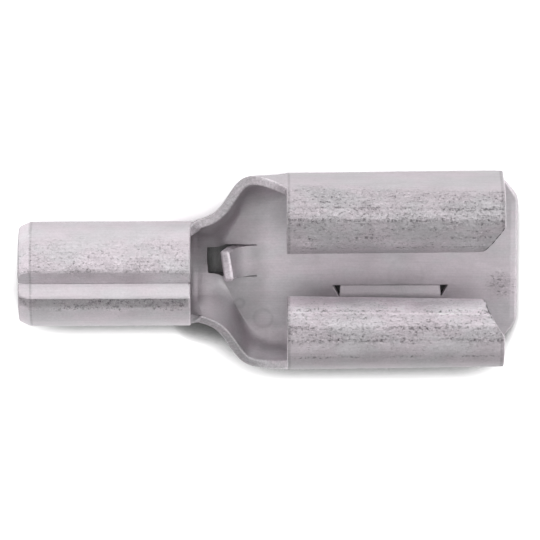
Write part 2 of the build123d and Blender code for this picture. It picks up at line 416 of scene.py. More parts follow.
def trough_path(shape):
    """The outside of one side of a trough."""
    path = Path((0.0, shape.base))
    path.line((shape.half, shape.base))
    path.arc((shape.half, shape.base + shape.fold), shape.fold, -90, -shape.lean)
    path.line((wall_head_reach(shape), shape.wall_top))
    radius = shape.curl_radius
    centre = (path.end[0] - radius * cosine(shape.lean), path.end[1] + radius * sine(shape.lean))
    path.arc(centre, radius, -shape.lean, shape.curl - shape.lean)
    return path


def turned(point, angle, centre):
    """The point turned about centre by an angle in degrees."""
    across = point[0] - centre[0]
    up = point[1] - centre[1]
    y = centre[0] + across * cosine(angle) - up * sine(angle)
    return y, centre[1] + across * sine(angle) + up * cosine(angle)


def barrel_path(side, edge_turn, edge_radius):
    """The outside of one side of the barrel, to its seam, which lies to the +Y side."""
    low = (SEAM_GAP / 2, BARREL_RADIUS - DROP)
    high = (low[0], low[1] + BARREL_FLAT)
    offset = -side * SEAM_OFFSET
    turn = edge_turn + offset
    path = Path((0.0, -DROP))
    path.line((SEAM_GAP / 2, -DROP))
    path.arc(low, BARREL_RADIUS, -90, 0)
    path.line((low[0] + BARREL_RADIUS, high[1]))
    path.arc(high, BARREL_RADIUS, 0, turn)
    reach = BARREL_RADIUS - edge_radius
    seam = turned((high[0] + reach, high[1]), turn, high)
    path.arc(seam, edge_radius, turn, 90 + SEAM_SLOPE + offset)
    # the run down into the V ends at the gap, which leans with the seam
    back = turned(path.end, -offset, high)
    slope = math.radians(SEAM_SLOPE)
    foot = (SEAM_SHUT, back[1] - (back[0] - SEAM_SHUT) * math.tan(slope))
    path.line(turned(foot, offset, high))
    return path


# The barrel's outside by side, with the solid's edges at the seam and with sharper ones, its trough, and
# the length round it at which the shoulder's cut edge starts
BARREL_PATHS = {side: barrel_path(side, SEAM_TURN, SEAM_RADIUS) for side in (1, -1)}
CRISP_PATHS = {side: barrel_path(side, CREST_TURN, CREST_RADIUS) for side in (1, -1)}
BARREL_TROUGH = Trough(SEAM_GAP / 2, BARREL_RADIUS, 0, 0, -DROP, 0, 0)
BARREL_EDGE = SEAM_GAP / 2 + BARREL_FLAT + BARREL_RADIUS * math.radians(90 + NECK_CURL)


def section(x, side):
    """The outside's path at x, its trough, and the length at which the shoulder's cut edge is or would be."""
    if x <= BARREL_FRONT + TINY:
        return BARREL_PATHS[side], BARREL_TROUGH, BARREL_EDGE
    if x < ROLL_BACK - TINY:
        shape = shoulder_shape(x, side)
        path = trough_path(shape)
        return path, shape, path.length
    shape = receptacle_shape(x)
    path = trough_path(shape)
    return path, shape, path.length - shape.curl_radius * math.radians(ROLL_SWEEP - HIP_CURL)


def floor_place(shape, y):
    """The length along a section at which it has reached y on its floor or fold."""
    if y <= shape.half:
        return y
    return shape.half + shape.fold * math.asin(min((y - shape.half) / shape.fold, 1))


# How far up the mouth's wall, from the flap's hinge line, the side of the nose is, and its row there
MOUTH_EDGE = section(ROLL_FRONT, 1)[2]
NOSE_SHARE = (NOSE_WIDE - FLAP_HINGE) / (MOUTH_EDGE - FLAP_HINGE)
NOSE_ROW = round(WALL_ROWS * NOSE_SHARE)


def wall_share(row):
    """How far a wall row lies from the flap's hinge line to the shoulder's cut edge."""
    if row <= NOSE_ROW:
        return NOSE_SHARE * row / NOSE_ROW
    if row == WALL_ROWS:
        return 1.0
    return blend(NOSE_SHARE, 1 - EDGE_STEP, (row - NOSE_ROW) / (WALL_ROWS - 1 - NOSE_ROW))


def clip_angle(x, side, shape):
    """Where round its curl a roll ends, clipped off at the mouth."""
    y = CLIP_START[side] - (ROLL_FRONT - x) / CLIP_SLOPE
    middle = shape.half + shape.fold - shape.curl_radius
    reach = (y - middle) / shape.curl_radius
    if reach > -1:
        return math.degrees(math.acos(min(reach, 1)))
    ahead = (CLIP_START[side] - (middle - shape.curl_radius)) * CLIP_SLOPE
    left = ROLL_FRONT - ahead - x
    return 180 + (ROLL_SWEEP - 180) * smooth(left / CLIP_ROUND)


def columns():
    """Places along X, with the index of each one that something starts at."""
    stops = [
        (BARREL_BACK + ENTRY_LENGTH, "entry", 6),
        (BARREL_FRONT, "barrel_front", 72),
        (BARREL_FRONT + NECK_LENGTH, "neck", 6),
        (STOP_HINGE - STOP_RADIUS * math.radians(STOP_TURN), "stop_start", 4),
        (STOP_HINGE, "stop_hinge", 24),
        (ROLL_BACK, "roll_back", 14),
        (FLAP_START, "flap_start", 20),
        (FLAP_END, "flap_end", 50),
        (ROLL_FRONT - 1.45, "clip", 8),
        (ROLL_FRONT, "roll_front", 24),
    ]
    places = [BARREL_BACK]
    index = {}
    for place, name, count in stops:
        before = places[-1]
        places += [blend(before, place, (k + 1) / count) for k in range(count)]
        index[name] = len(places) - 1
    return places, index


def nose_front_at(y):
    """The nose's outline in plan, with clipped and rounded corners."""
    slope = (NOSE_FRONT - NOSE_CORNER) / (NOSE_WIDE - NOSE_HALF)
    over = abs(y) - NOSE_HALF
    if over <= -NOSE_ROUND:
        return NOSE_FRONT
    if over >= NOSE_ROUND:
        return NOSE_FRONT - slope * over
    return NOSE_FRONT - slope * (over + NOSE_ROUND) ** 2 / (4 * NOSE_ROUND)


def flap_warp(x, y):
    """Moves columns beside the flap's ends on to the slanting ends."""
    rise = min(max((y - FLAP_INNER) / (FLAP_HINGE - FLAP_INNER), 0), 1)
    if y > FLAP_HINGE:
        rise = 1 - smooth((y - FLAP_HINGE) / WARP_UP)
    start = max(0, 1 - abs(x - FLAP_START) / WARP_ALONG)
    end = max(0, 1 - abs(x - FLAP_END) / WARP_ALONG)
    return x + FLAP_TAPER * rise * (start - end)


def floor_point(x, row, side):
    warped = flap_warp(x, FLOOR_ROWS[row])
    path, shape, _ = section(warped, side)
    y, z = path.at(floor_place(shape, FLOOR_ROWS[row]))
    return warped, side * y, z


def wall_point(x, row, side):
    share = wall_share(row)
    _, shape, edge = section(x, side)
    warped = flap_warp(x, FLAP_HINGE + share * (edge - floor_place(shape, FLAP_HINGE)))
    path, shape, edge = section(warped, side)
    y, z = path.at(blend(floor_place(shape, FLAP_HINGE), edge, share))
    return warped, side * y, z


def crown_point(path, x, row, side):
    """A point on the barrel beyond where the shoulder's cut edge starts."""
    y, z = path.at(np.interp(row, CROWN_ROWS, [BARREL_EDGE, path.starts[4], path.starts[5], path.length]))
    return x, side * y, z


def roll_point(x, row, side):
    path, shape, edge = section(x, side)
    turn = blend(0, clip_angle(x, side, shape) - HIP_CURL, row / ROLL_ROWS)
    y, z = path.at(edge + shape.curl_radius * math.radians(turn))
    return x, side * y, z


def nose_point(step, row, side):
    if row <= HINGE_ROW:
        y = FLOOR_ROWS[row]
    else:
        y = blend(FLAP_HINGE, NOSE_WIDE, (row - HINGE_ROW) / NOSE_ROW)
    return blend(ROLL_FRONT, nose_front_at(y), NOSE_SHARES[step]), side * y, 0.0


def flap_point(hinge, side, share):
    """A point of a flap, a share of its depth from its hinge line."""
    deep = FLAP_DEPTH * share
    tilt = math.asin(DROP / FLAP_DEPTH)
    y = FLAP_HINGE - deep * math.cos(tilt)
    centre = (FLAP_START + FLAP_END) / 2
    full = (FLAP_END - FLAP_START) / 2 - FLAP_TAPER
    end = full - (FLAP_GAP - FLAP_TAPER) * (FLAP_HINGE - y) / (FLAP_HINGE - FLAP_INNER / 2)
    return centre + (hinge[0] - centre) * end / full, side * y, -deep * math.sin(tilt)


def stop_point(hinge, side, share):
    """A point of the stop tongue, a share of its length from its hinge line."""
    turn = STOP_TURN * share
    twist = math.tan(math.radians(STOP_TWIST)) * hinge[1] * share ** TWIST_CROWDING
    return STOP_HINGE - STOP_RADIUS * sine(turn) - twist, hinge[1], STOP_RADIUS * (1 - cosine(turn))


class Sheet:
    """The blank's outside as quads, in columns along X and in rows outwards from the middle."""

    def __init__(self):
        self.places, self.start = columns()
        self.last = len(self.places) - 1
        self.points = []
        self.crisp = []
        self.sides = []
        self.quads = []
        self.index = {}
        for side in (1, -1):
            self.add_side(side)
            self.add_flap(side)
            self.add_stop(side)

    def add(self, key, side, point, crisp=None):
        """A point, with its place on the outside where the seam's edges are sharper there."""
        if key not in self.index:
            self.index[key] = len(self.points)
            self.points.append(point)
            self.crisp.append(crisp or point)
            self.sides.append(side)
        return self.index[key]

    def quad(self, corners, side):
        """A quad from its corners in the order of the -Y side."""
        self.quads.append(tuple(corners if side < 0 else corners[::-1]))

    def vertex(self, i, row, side, zone=None):
        """The number of the point at a column and a row, made when it is first asked for."""
        if row == 0:
            side = 1
        key = (i, row, side, zone if row > EDGE_ROW else None)
        if key in self.index:
            return self.index[key]
        x = self.places[min(i, self.last)]
        if i > self.last:
            return self.add(key, side, nose_point(i - self.last, row, side))
        if row <= HINGE_ROW:
            return self.add(key, side, floor_point(x, row, side))
        if row <= EDGE_ROW:
            return self.add(key, side, wall_point(x, row - HINGE_ROW, side))
        if zone == "roll":
            return self.add(key, side, roll_point(x, row - EDGE_ROW, side))
        crown = [crown_point(paths[side], x, row - EDGE_ROW, side) for paths in (BARREL_PATHS, CRISP_PATHS)]
        return self.add(key, side, *crown)

    def cell(self, i, row, side, zone=None):
        corners = ((i, row), (i + 1, row), (i + 1, row + 1), (i, row + 1))
        self.quad([self.vertex(column, line, side, zone) for column, line in corners], side)

    def cut_out(self, i, row):
        """Whether a cell lies in a flap's window or in the stop tongue's."""
        flap = self.start["flap_start"] <= i < self.start["flap_end"] and INNER_ROW <= row < HINGE_ROW
        stop = self.start["stop_start"] <= i < self.start["stop_hinge"] and row < WINDOW_ROW
        return flap or stop

    def add_side(self, side):
        """One side's floor and wall, its half of the barrel, its roll and its half of the nose."""
        for i in range(self.last):
            for row in range(EDGE_ROW):
                if not self.cut_out(i, row):
                    self.cell(i, row, side)
            if i < self.start["barrel_front"]:
                for row in range(EDGE_ROW, EDGE_ROW + CROWN_ROWS[-1]):
                    self.cell(i, row, side, "barrel")
            if i >= self.start["roll_back"]:
                for row in range(EDGE_ROW, EDGE_ROW + ROLL_ROWS):
                    self.cell(i, row, side, "roll")
        for i in range(self.last, self.last + len(NOSE_SHARES) - 1):
            for row in range(HINGE_ROW + NOSE_ROW):
                self.cell(i, row, side)

    def add_tab(self, name, hinges, steps, point_at, facing):
        """A lanced tab: steps of points from each point of its hinge line, as point_at places them."""
        def number(k, step):
            return self.index[(name, self.sides[hinges[k]], k, step)] if step else hinges[k]
        for k, hinge in enumerate(hinges):
            side = self.sides[hinge]
            for step in range(1, steps + 1):
                self.add((name, side, k, step), side, point_at(self.points[hinge], side, step / steps))
        for k in range(len(hinges) - 1):
            for step in range(steps):
                corners = ((k, step + 1), (k + 1, step + 1), (k + 1, step), (k, step))
                self.quad([number(*corner) for corner in corners], facing)

    def add_flap(self, side):
        """A flap, bent down about its hinge line, with slanting ends."""
        across = range(self.start["flap_start"], self.start["flap_end"] + 1)
        hinges = [self.vertex(i, HINGE_ROW, side) for i in across]
        self.add_tab("flap", hinges, FLAP_ROWS, flap_point, side)

    def add_stop(self, side):
        """Half of the stop tongue, curled up about its hinge line."""
        hinges = [self.vertex(self.start["stop_hinge"], row, side) for row in range(STOP_ROW + 1)]
        self.add_tab("stop", hinges, STOP_STEPS, stop_point, -side)


def unit(vectors):
    """Each row of an array at length 1."""
    return vectors / np.maximum(np.linalg.norm(vectors, axis=1), TINY)[:, None]


def sheet_normals(points, quads):
    """Outward normals of the outside at its points, weighted by face area."""
    corners = points[quads]
    face = np.cross(corners[:, 2] - corners[:, 0], corners[:, 3] - corners[:, 1])
    normals = np.zeros_like(points)
    for k in range(4):
        np.add.at(normals, quads[:, k], face)
    return unit(normals)


def between(value, low, high):
    """0 below low, 1 above high and smooth between, for an array."""
    share = np.clip((value - low) / (high - low), 0, 1)
    return share * share * (3 - 2 * share)


def turn_of(normals, side):
    """The angle in degrees by which the sheet has turned, up from the side walls at 0."""
    return (np.degrees(np.arctan2(normals[:, 2], normals[:, 1] * side)) + 90) % 360 - 90


def wear_by_turn(turn, sides, table):
    """Wear from one of the tables above, each point by its own side."""
    worn = np.zeros(len(turn))
    for side, (start, changes) in table.items():
        total = start + sum(change * between(turn, low, high) for low, high, change in changes)
        worn = np.where(sides == side, total, worn)
    return worn


def wear(x, turn, sides):
    """How scuffed the outside is: most on the crests, where the tools rubbed."""
    barrel = x < BARREL_FRONT + 0.01
    rolled = (x > ROLL_BACK - 0.01) & (turn > -5)
    tables = [wear_by_turn(turn, sides, BARREL_WEAR), wear_by_turn(turn, sides, ROLL_WEAR)]
    return np.select([barrel, rolled], tables, PLAIN_WEAR)


def dents(places, worn):
    """Depth in mm that the scuffs reach below the outside."""
    depth = np.zeros(len(places))
    for k, (x, y, z) in enumerate(places.tolist()):
        if worn[k] < LEAST_DENTED:
            continue
        for along, across, shift, most in DENTS:
            pattern = noise.noise(Vector((x * along + shift, y * across, z * across)))
            depth[k] += worn[k] * max(pattern, 0) * most
    return depth


def boundary_loops(quads):
    """Loops of points round the sheet's outside and its holes."""
    steps = [(quad[k], quad[(k + 1) % 4]) for quad in quads for k in range(4)]
    paired = set(steps)
    following = {a: b for a, b in steps if (b, a) not in paired}
    loops = []
    left = set(following)
    while left:
        start = min(left)
        loop = [start]
        point = following[start]
        while point != start:
            loop.append(point)
            point = following[point]
        left.difference_update(loop)
        loops.append(loop)
    return loops


class Skin:
    """The sheet's outside as arrays, with its dents, its bevel, its wear and its painted highlights, and the
    inside under it.
    """

    def __init__(self, sheet):
        self.quads = np.array(sheet.quads)
        self.sides = np.array(sheet.sides)
        self.place = np.array(sheet.points)
        self.normals = sheet_normals(self.place, self.quads)
        crisp = np.array(sheet.crisp)
        crisp_normals = sheet_normals(crisp, self.quads)
        self.turn = turn_of(crisp_normals, self.sides)
        self.worn = wear(self.place[:, 0], self.turn, self.sides)
        self.inside = self.place - self.normals * SHEET
        self.outside = crisp - crisp_normals * dents(crisp, self.worn)[:, None]
        self.shading = sheet_normals(self.outside, self.quads)
        self.bright = np.zeros(len(self.place))
        self.bevel_entry()
        self.add_grime()

    def bevel_entry(self):
        """The bevel round the barrel's entry, with a painted highlight on it, brighter on the +Y side."""
        middle = BARREL_RADIUS + BARREL_FLAT / 2 - DROP
        x, y, z = self.place.T
        radius = np.maximum(np.hypot(y, z - middle), TINY)
        share = np.clip((x - BARREL_BACK) / ENTRY_LENGTH, 0, 1)
        limit = BARREL_RADIUS + BARREL_FLAT / 2 - (ENTRY_DEPTH + BARREL_FLAT / 2) * (1 - share)
        bevelled = (share < 1) & (radius > limit)
        shrink = np.where(bevelled, limit / radius, 1)
        self.outside[:, 1] *= shrink
        self.outside[:, 2] = middle + (self.outside[:, 2] - middle) * shrink
        slope = math.atan(ENTRY_DEPTH / ENTRY_LENGTH)
        away = math.cos(slope) / radius
        cone = np.stack([np.full(len(x), -math.sin(slope)), y * away, (z - middle) * away], axis=1)
        self.shading[bevelled] = cone[bevelled]
        # painted highlight on the bevel, brighter on the +Y side
        self.bright[bevelled] = np.where(self.sides < 0, BEVEL_PAINTED_HIGHLIGHT[-1], BEVEL_PAINTED_HIGHLIGHT[1])[bevelled]

    def add_grime(self):
        """Grime on the lower edge of the seam's V."""
        grimy = (self.sides < 0) & (self.place[:, 0] < BARREL_FRONT + 0.01) & (self.turn > GRIME_TURN)
        grime = np.where(grimy, between(-self.place[:, 1], *GRIME_SETS_IN), 0)
        self.worn = np.maximum(self.worn, grime)
        self.bright -= GRIME * grime

    def painted_crease_highlight(self):
        """Painted highlight on the inside along the shoulder's fold."""
        x, y, _ = self.place.T
        pressed = (x > BARREL_FRONT + 0.1) & (x < ROLL_BACK - 0.5) & (y < 0)
        folded = self.turn + 90
        line = np.exp(-((folded - CREASE_TURN) / CREASE_WIDTH) ** 2)
        line = np.maximum(line, CREASE_FLOOR * between(folded, 12, 30))
        return np.where(pressed, line * between(-x, 0.1, 1.0), 0)


class Shell:
    """A closed mesh in the making: points with normals and marks, and faces."""

    def __init__(self):
        self.points = []
        self.shading = []
        self.marks = {"cut": [], "worn": [], "turn": [], "bright": [], "lower": []}
        self.faces = []
        self.count = 0

    def add(self, points, shading, **marks):
        """Adds points and gives their numbers."""
        self.points.append(points)
        self.shading.append(shading)
        for name, values in marks.items():
            self.marks[name].append(np.broadcast_to(values, len(points)))
        self.count += len(points)
        return np.arange(self.count - len(points), self.count)

    def strip(self, near, far):
        """Faces between two closed rings of points."""
        for k in range(len(near)):
            m = (k + 1) % len(near)
            self.faces.append((near[m], near[k], far[k], far[m]))


def rim_parts(place):
    """Which points of a rim are on which part of the terminal."""
    x, y, z = place.T
    across = np.abs(y)
    off_stop = np.abs(x - STOP_HINGE + 1)
    tongue = (z > 0.02) & (across < STOP_WINDOW) & (off_stop < 1)
    on_barrel = (x > BARREL_BACK + 0.01) & (x < BARREL_FRONT - 0.01)
    on_shoulder = (x > BARREL_FRONT + 0.05) & (x < ROLL_BACK - 0.01)
    return {
        "nose": (x > NOSE_CORNER - 0.01) & (np.abs(z) < 0.01),
        "seam": on_barrel & (across < 0.8) & (z > BARREL_RADIUS),
        "shoulder": on_shoulder & (across > 1.2),
        "tongue": tongue,
        "tip": tongue & (z > 0.6),
        "front": (np.abs(x - BARREL_FRONT) < 0.01) & (z > BARREL_RADIUS - DROP),
        "slit": tongue | ((across < STOP_WINDOW + 0.01) & (off_stop < 1.05)),
    }


def by_part(parts, values, elsewhere):
    """A value for each point from a table by part."""
    return np.select([parts[name] for name in values], list(values.values()), elsewhere)


def rim_directions(place, normal):
    """The direction away from the sheet at each point of a rim, and how much its corners stretch it."""
    along_1 = unit(place - np.roll(place, 1, axis=0))
    along_2 = np.roll(along_1, -1, axis=0)
    away_1 = np.cross(along_1, normal)
    away = unit(away_1 + np.cross(along_2, normal))
    return away, 1 / np.maximum(np.sum(away * away_1, axis=1), SHARPEST_MITRE)


def add_rim(shell, skin, loop):
    """Closes the sheet along a loop of its points with a rounded cut edge."""
    outside, inside = shell.points[:2]
    place = skin.place[loop]
    normal = skin.normals[loop]
    away, mitre = rim_directions(place, normal)
    edge_out = skin.outside[loop]
    edge_in = skin.inside[loop]
    thick = np.linalg.norm(edge_out - edge_in, axis=1)
    upward = (edge_out - edge_in) / thick[:, None]
    parts = rim_parts(place)
    round_out = by_part(parts, OUTER_ROUND, OUTER_ELSEWHERE)
    fade = np.clip((NOSE_WIDE - np.abs(place[:, 1])) / NOSE_BEVEL_FADE, 0, 1)
    nose_in = np.where(parts["nose"], blend(NOSE_BEVEL_END, NOSE_BEVEL, fade), INNER_ELSEWHERE)
    round_in = by_part(parts, INNER_ROUND, nose_in)
    # painted highlights on the stop tongue, its tip and the barrel's front edge
    bright = by_part(parts, RIM_PAINTED_HIGHLIGHT, 0.0)
    outside[loop] = edge_out - away * (round_out * mitre)[:, None]
    inside[loop] = edge_in - away * (round_in * mitre)[:, None]
    near = loop
    for angle in RIM_ANGLES:
        if angle <= 90:
            off = round_out * (sine(angle) - 1)
            down = round_out * (1 - cosine(angle))
        else:
            off = round_in * (sine(angle) - 1)
            down = thick - round_in * (1 + cosine(angle))
        points = edge_out + away * (off * mitre)[:, None] - upward * down[:, None]
        cut = 1.0 if 60 <= angle <= 120 else 0.6
        far = shell.add(points, away * sine(angle) + normal * cosine(angle),
                        cut=cut, worn=RIM_WEAR, turn=-90.0, bright=bright, lower=skin.sides[loop] < 0)
        shell.strip(near.tolist(), far.tolist())
        near = far
    shell.strip(near.tolist(), (loop + len(skin.place)).tolist())


def thicken(sheet):
    """A closed mesh of the sheet's thickness with rounded cut edges."""
    skin = Skin(sheet)
    shell = Shell()
    below = skin.sides < 0
    shell.add(skin.outside.copy(), skin.shading,
              cut=0.0, worn=skin.worn, turn=skin.turn, bright=skin.bright, lower=below)
    shell.add(skin.inside.copy(), -skin.normals,
              cut=0.0, worn=INSIDE_WEAR, turn=-90.0, bright=skin.painted_crease_highlight(), lower=below)
    shell.faces += sheet.quads
    shell.faces += (skin.quads[:, ::-1] + len(skin.place)).tolist()
    for loop in boundary_loops(sheet.quads):
        add_rim(shell, skin, np.array(loop))
    return shell


def make_terminal(material):
    """The terminal as a fine mesh of the solid's form, kept inside its box."""
    shell = thicken(Sheet())
    points = np.concatenate(shell.points) + np.array([0, 0, DROP])
    points = np.clip(points, np.array(cad_low) / MM, np.array(cad_high) / MM)
    shading = unit(np.concatenate(shell.shading))
    mesh = bpy.data.meshes.new("terminal_sheet")
    mesh.from_pydata((points * MM).tolist(), [], shell.faces)
    mesh.polygons.foreach_set("use_smooth", [True] * len(shell.faces))
    mesh.update()
    mesh.normals_split_custom_set_from_vertices(shading.tolist())
    for name, parts in shell.marks.items():
        values = np.concatenate(parts).astype(float)
        mesh.attributes.new(name, "FLOAT", "POINT").data.foreach_set("value", values.tolist())
    mesh.materials.append(material)
    piece = bpy.data.objects.new("terminal_sheet", mesh)
    bpy.context.collection.objects.link(piece)
    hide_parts("terminal")
    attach(piece, "root")


def make_material(name):
    """An empty node material."""
    material = bpy.data.materials.new(name)
    material.use_nodes = True
    material.node_tree.nodes.clear()
    return material


class Field:
    """Builds number fields of a node tree from the place in mm and from the mesh's attributes."""

    def __init__(self, tree):
        self.tree = tree
        scale = self.node("VectorMath", operation="SCALE", in_Scale=1 / MM)
        self.put(self.node("TexCoord").outputs["Object"], scale.inputs[0])
        self.place = scale.outputs[0]
        split = self.node("SeparateXYZ")
        self.put(self.place, split.inputs[0])
        self.x, self.y, _ = split.outputs

    def node(self, kind, **settings):
        """A shader node with its settings, and with the inputs that are named by in_."""
        made = self.tree.nodes.new("ShaderNode" + kind)
        for key, value in settings.items():
            if key.startswith("in_"):
                made.inputs[key[3:].replace("_", " ")].default_value = value
            else:
                setattr(made, key, value)
        return made

    def put(self, value, socket):
        """Sets a socket to a number or links a field to it."""
        if isinstance(value, (int, float)):
            socket.default_value = value
        else:
            self.tree.links.new(value, socket)

    def combine(self, operation, a, b):
        made = self.node("Math", operation=operation)
        self.put(a, made.inputs[0])
        self.put(b, made.inputs[1])
        return made.outputs[0]

    def plus(self, a, b):
        return self.combine("ADD", a, b)

    def minus(self, a, b):
        return self.combine("SUBTRACT", a, b)

    def times(self, a, b):
        return self.combine("MULTIPLY", a, b)

    def larger(self, a, b):
        return self.combine("MAXIMUM", a, b)

    def size(self, value):
        """The value without its sign."""
        return self.combine("ABSOLUTE", value, 0.0)

    def attribute(self, name):
        return self.node("Attribute", attribute_name=name).outputs["Fac"]

    def noise(self, x, across, shift=0.0, detail=4.0, roughness=0.6, distortion=0.0):
        """A noise that comes x times a mm along the part and across times round it."""
        place = self.node("Mapping", in_Scale=(x, across, across), in_Location=[shift] * 3)
        self.put(self.place, place.inputs["Vector"])
        made = self.node("TexNoise", in_Scale=1.0, in_Detail=detail, in_Roughness=roughness,
                         in_Distortion=distortion)
        self.put(place.outputs[0], made.inputs["Vector"])
        return made.outputs[0]

    def range(self, value, low, high, to_low=0.0, to_high=1.0, kind="SMOOTHSTEP"):
        made = self.node("MapRange", interpolation_type=kind, in_From_Min=low, in_From_Max=high,
                         in_To_Min=to_low, in_To_Max=to_high)
        self.put(value, made.inputs["Value"])
        return made.outputs["Result"]

    def ridge(self, value, width):
        """1 along the lines where a noise passes its middle, 0 away from them."""
        return self.range(self.size(self.minus(value, 0.5)), 0.0, width, 1.0, 0.0)

    def bands(self, value, steps, low=0, high=220):
        """A tone that changes with a value, from (value, tone) steps."""
        made = self.node("ValToRGB")
        self.put(self.range(value, low, high, kind="LINEAR"), made.inputs[0])
        points = made.color_ramp.elements
        while len(points) < len(steps):
            points.new(0.5)
        for point, (place, tone) in zip(points, steps):
            point.position = (place - low) / (high - low)
            point.color = (tone, tone, tone, 1)
        return made.outputs[0]

    def lines(self, value, places, width, strength):
        """Lines of a half width where a value is at one of the places, times their strength."""
        total = 0.0
        for place in places:
            off = self.size(self.minus(value, place))
            total = self.larger(total, self.range(off, 0.3 * width, width, 1.0, 0.0))
        return self.times(total, strength)

    def pick(self, choice, when_0, when_1):
        """One field where choice is 0 and the other where it is 1."""
        return self.plus(self.times(when_1, choice), self.times(when_0, self.minus(1.0, choice)))

    def spot(self, centre, radius, edge):
        """1 within a radius in mm of a place, fading over the edge."""
        made = self.node("VectorMath", operation="DISTANCE")
        self.put(self.place, made.inputs[0])
        made.inputs[1].default_value = centre
        return self.range(made.outputs["Value"], radius - edge, radius, 1.0, 0.0)


class Tin(Field):
    """Fields of dull tin plate: scuffed on its crests, streaked and stained inside, with painted highlights
    and painted shade.
    """

    def __init__(self, tree):
        super().__init__(tree)
        self.turn = self.attribute("turn")
        self.below = self.attribute("lower")
        self.on_barrel = self.range(self.x, BARREL_FRONT - 0.02, BARREL_FRONT + 0.02, 1.0, 0.0)
        self.inside = self.range(self.turn, -89.5, -80.0, 1.0, 0.0)
        self.outside = self.minus(1.0, self.inside)
        self.blotch = self.noise(0.7, 1.0)
        self.patch = self.noise(0.8, 1.6, 7.0, detail=3.0)
        self.streak = self.noise(0.5, 16.0, 3.0, detail=3.0)
        self.scuff = self.noise(8.0, 12.5, detail=6.0, roughness=0.76)
        self.grain = self.noise(10.0, 13.0, 11.0, detail=5.0, roughness=0.78)
        self.rub = self.rubbed()
        self.marks = {
            "mark": self.times(self.rub, self.range(self.scuff, 0.53, 0.66)),
            "score": self.scores(),
            "rows": self.rows(),
            "ends": self.ends(),
            "painted_shade_and_stains": self.painted_shade_and_stains(),
        }

    def by_place(self, fields):
        """One of four fields: on the roll of the +Y and of the -Y side, on the barrel likewise."""
        rolls = self.pick(self.below, *fields[:2])
        return self.pick(self.on_barrel, rolls, self.pick(self.below, *fields[2:]))

    def rubbed(self):
        """How scuffed it is, in patches, and round the nick on the nose."""
        rub = self.times(self.attribute("worn"), self.range(self.patch, 0.36, 0.60, 0.50, 1.0))
        return self.plus(rub, self.times(self.spot(*NICKED), self.inside))

    def scores(self):
        """Fine scratches."""
        wave = self.noise(4.0, 8.0, 23.0, detail=5.0, roughness=0.70, distortion=0.3)
        return self.times(self.rub, self.ridge(wave, 0.022))

    def rows(self):
        """Broken rows of tool marks along rolls and barrel, which stray a little."""
        broken = self.range(self.noise(6.5, 5.0, 31.0, detail=6.0, roughness=0.80), 0.49, 0.60)
        broken = self.times(broken, self.range(self.patch, 0.40, 0.56, 0.25, 1.0))
        wander = self.noise(1.3, 0.3, 51.0, roughness=0.62)
        strayed = self.plus(self.turn, self.times(self.minus(wander, 0.5), 11.0))
        return self.by_place([self.lines(strayed, *rows, broken) for rows in TOOL_ROWS])

    def ends(self):
        """Marks across the ends of barrel and rolls."""
        scuffed = self.range(self.scuff, 0.40, 0.52, 0.35, 1.0)
        return self.times(self.lines(self.x, *END_MARKS, scuffed), self.outside)

    def painted_shade_and_stains(self):
        """Painted shade on the inside near the barrel and in a corner of the shoulder, and faint stain rings.
        """
        # painted shade on the shoulder's inside, darkest next to the barrel
        wander = self.times(self.minus(self.blotch, 0.5), 1.6)
        painted_barrel_shade = self.range(self.plus(self.x, wander), -1.7, 0.3, 1.0, 0.0)
        painted_barrel_shade = self.times(painted_barrel_shade, self.range(self.x, BARREL_FRONT - 0.3, BARREL_FRONT))
        # painted shade in the corner of the shoulder's lower wall
        total = self.plus(painted_barrel_shade, self.times(self.spot(*PAINTED_SHADE_CORNER), 1.6))
        total = self.times(total, self.inside)
        for centre, radius, strength in STAINS:
            ring = self.minus(self.spot(centre, radius, 0.12), self.spot(centre, radius - 0.06, 0.22))
            total = self.plus(total, self.times(ring, strength))
        return total

    def banded(self):
        """The tone by the bands, partly painted light and shade, with blotches, streaks and grain."""
        tone = self.by_place([self.bands(self.turn, steps) for steps in OUTSIDE_BANDS])
        tone = self.pick(self.inside, tone, self.bands(self.x, INSIDE_BANDS, -10, 10))
        tone = self.times(tone, self.range(self.blotch, 0.30, 0.70, 0.93, 1.07))
        tone = self.times(tone, self.range(self.streak, 0.3, 0.7, 0.97, 1.03))
        return self.times(tone, self.range(self.grain, 0.3, 0.7, 0.95, 1.05))

    def roll_light_line(self):
        """A light line along the lower roll, at one turn of the sheet."""
        patchy = self.range(self.patch, 0.3, 0.6, 0.4, 1.0)
        line = self.times(self.below, self.lines(self.turn, *ROLL_LIGHT_LINE, patchy))
        return self.times(line, self.minus(1.0, self.on_barrel))

    def painted_nose_highlight(self):
        """A painted highlight along the front edge of the nose."""
        straight = self.range(self.size(self.y), NOSE_HALF - 0.3, NOSE_HALF, 1.0, 0.0)
        return self.lines(self.x, *NOSE_HIGHLIGHT, straight)

    def tone(self):
        """Everything that makes the tin darker or lighter, painted highlights and painted shade among it."""
        tone = self.banded()
        for name, share in DARKENED.items():
            tone = self.times(tone, self.minus(1.0, self.times(self.marks[name], share)))
        speck = self.range(self.noise(10.0, 13.0, 41.0, detail=5.0, roughness=0.75), 0.54, 0.68)
        mottle = self.range(self.grain, 0.36, 0.64, -0.10, 0.16)
        # painted highlights on the bevel, rims and the shoulder's fold, less the grime on the seam
        bright = self.attribute("bright")
        # painted glints where the V meets the entry bevel
        for glint in BEVEL_GLINTS:
            bright = self.plus(bright, self.times(self.outside, self.spot(*glint)))
        tone = self.plus(tone, self.times(self.times(self.rub, speck), SPECK_LIGHT))
        tone = self.plus(tone, self.times(self.attribute("cut"), mottle))
        tone = self.plus(tone, self.times(self.roll_light_line(), ROLL_LIGHT_LINE_GAIN))
        tone = self.plus(tone, self.times(self.painted_nose_highlight(), NOSE_HIGHLIGHT_GAIN))
        return self.plus(tone, self.times(bright, BRIGHT_LIGHT))

